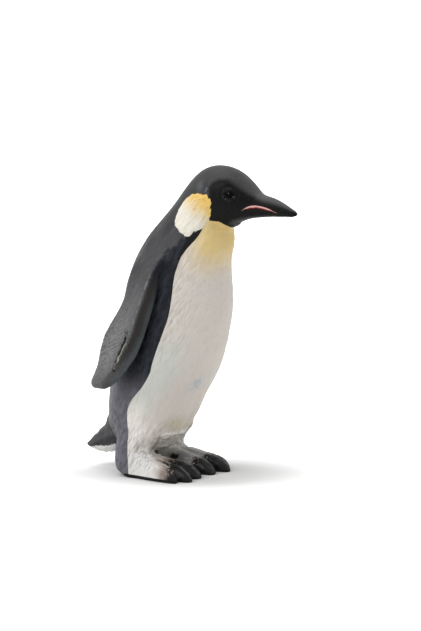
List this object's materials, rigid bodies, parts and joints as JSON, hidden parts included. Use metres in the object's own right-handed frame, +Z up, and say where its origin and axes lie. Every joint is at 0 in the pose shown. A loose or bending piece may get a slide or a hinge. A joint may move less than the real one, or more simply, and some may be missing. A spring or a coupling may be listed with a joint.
{
  "type": "penguin figurine",
  "caption": "Standing penguin figurine with a down-turned bill, swept-back flippers, short wedge tail and broad three-toed feet.",
  "frame": {"origin": "on the ground, under the middle of the figurine's box", "axes": "+X the way the penguin faces, +Y its left side, +Z up"},
  "size_m": [0.0654, 0.0392, 0.0852],
  "materials": {
    "head_plastic": "matt black paint over soft moulded plastic",
    "white_plastic": "matt warm white with a light grey-brown wash",
    "charcoal_plastic": "matt charcoal with dry-brushed highlights",
    "foot_plastic": "satin black with brown dry brushing",
    "core_plastic": "bare regrind plastic",
    "eye_plastic": "glossy black bead"
  },
  "bodies": {
    "root": {"head": "head_plastic", "right_eye": "eye_plastic", "left_eye": "eye_plastic", "body_front": "white_plastic", "body_back": "charcoal_plastic", "body_core": "core_plastic", "right_flipper": "charcoal_plastic", "left_flipper": "charcoal_plastic", "right_foot": "foot_plastic", "left_foot": "foot_plastic", "tail": "charcoal_plastic"}
  },
  "joints": []
}
